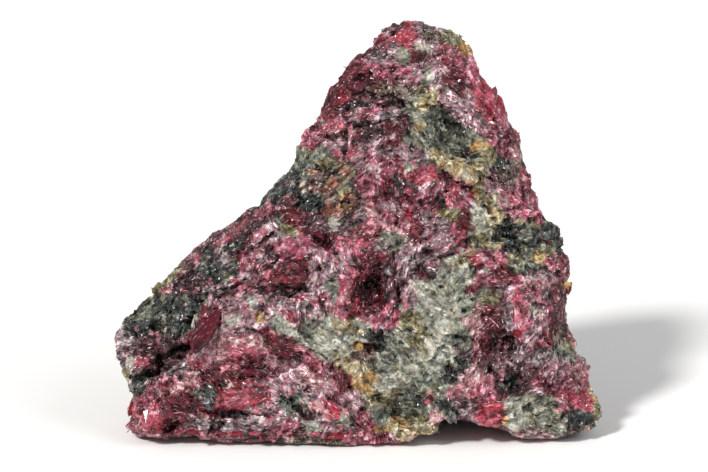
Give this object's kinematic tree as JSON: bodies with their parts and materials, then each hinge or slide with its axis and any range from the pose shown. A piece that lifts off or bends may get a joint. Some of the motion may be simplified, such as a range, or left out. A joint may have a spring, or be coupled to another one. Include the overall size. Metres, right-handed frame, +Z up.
{
  "type": "eudialyte specimen",
  "caption": "Rough triangular broken stone of intergrown mineral grains that stands on its own base, with a notch under one side.",
  "frame": {"origin": "middle of the bounding box, on the plane that the base rests on", "axes": "+Z up, +X to the right across the broken face, which looks towards -Y and leans back"},
  "size_m": [0.0596, 0.0266, 0.0497],
  "materials": {
    "eudialyte_rock": "broken mineral grains: glassy raspberry red, pale grey-green, lilac and black-green, with small glints"
  },
  "bodies": {
    "root": {"eudialyte_stone": "eudialyte_rock"}
  },
  "joints": []
}
